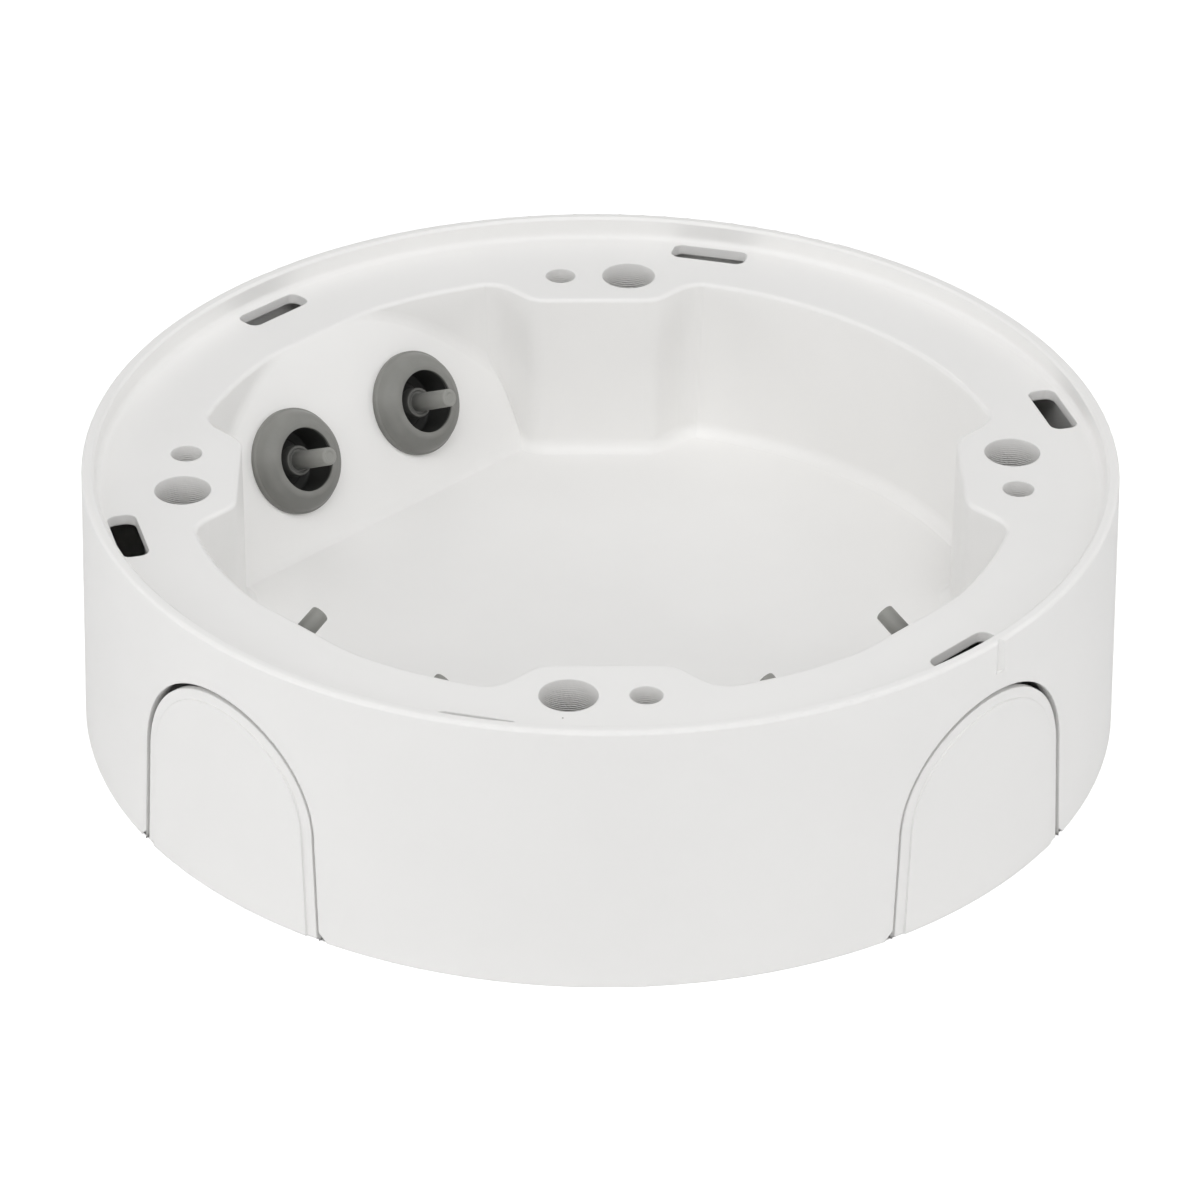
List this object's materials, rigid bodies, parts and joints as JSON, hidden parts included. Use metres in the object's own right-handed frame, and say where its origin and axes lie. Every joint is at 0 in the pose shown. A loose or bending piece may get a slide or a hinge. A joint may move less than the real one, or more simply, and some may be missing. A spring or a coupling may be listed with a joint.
{
  "type": "camera junction box",
  "caption": "Round white junction box that goes between a wall or ceiling and a camera: deep wiring pot, cable grommets in slanted walls, arched conduit entries with covers.",
  "frame": {"origin": "centre of the base, on the wall or ceiling that the box is screwed to", "axes": "+Z out of the wall towards the camera, +Y towards the pot's plain side"},
  "size_m": [0.1868, 0.1868, 0.05],
  "materials": {
    "painted_casting": "die-cast aluminium with fine white powder coat",
    "white_plastic": "fine matt white moulding",
    "grey_rubber": "matt mid-grey moulded rubber"
  },
  "bodies": {
    "root": {"housing": "painted_casting", "cover_left": "white_plastic", "cover_front": "white_plastic", "cover_right": "white_plastic", "grommet_left_a": "grey_rubber", "grommet_left_b": "grey_rubber", "grommet_front_a": "grey_rubber", "grommet_front_b": "grey_rubber", "grommet_right_a": "grey_rubber", "grommet_right_b": "grey_rubber"}
  },
  "joints": []
}
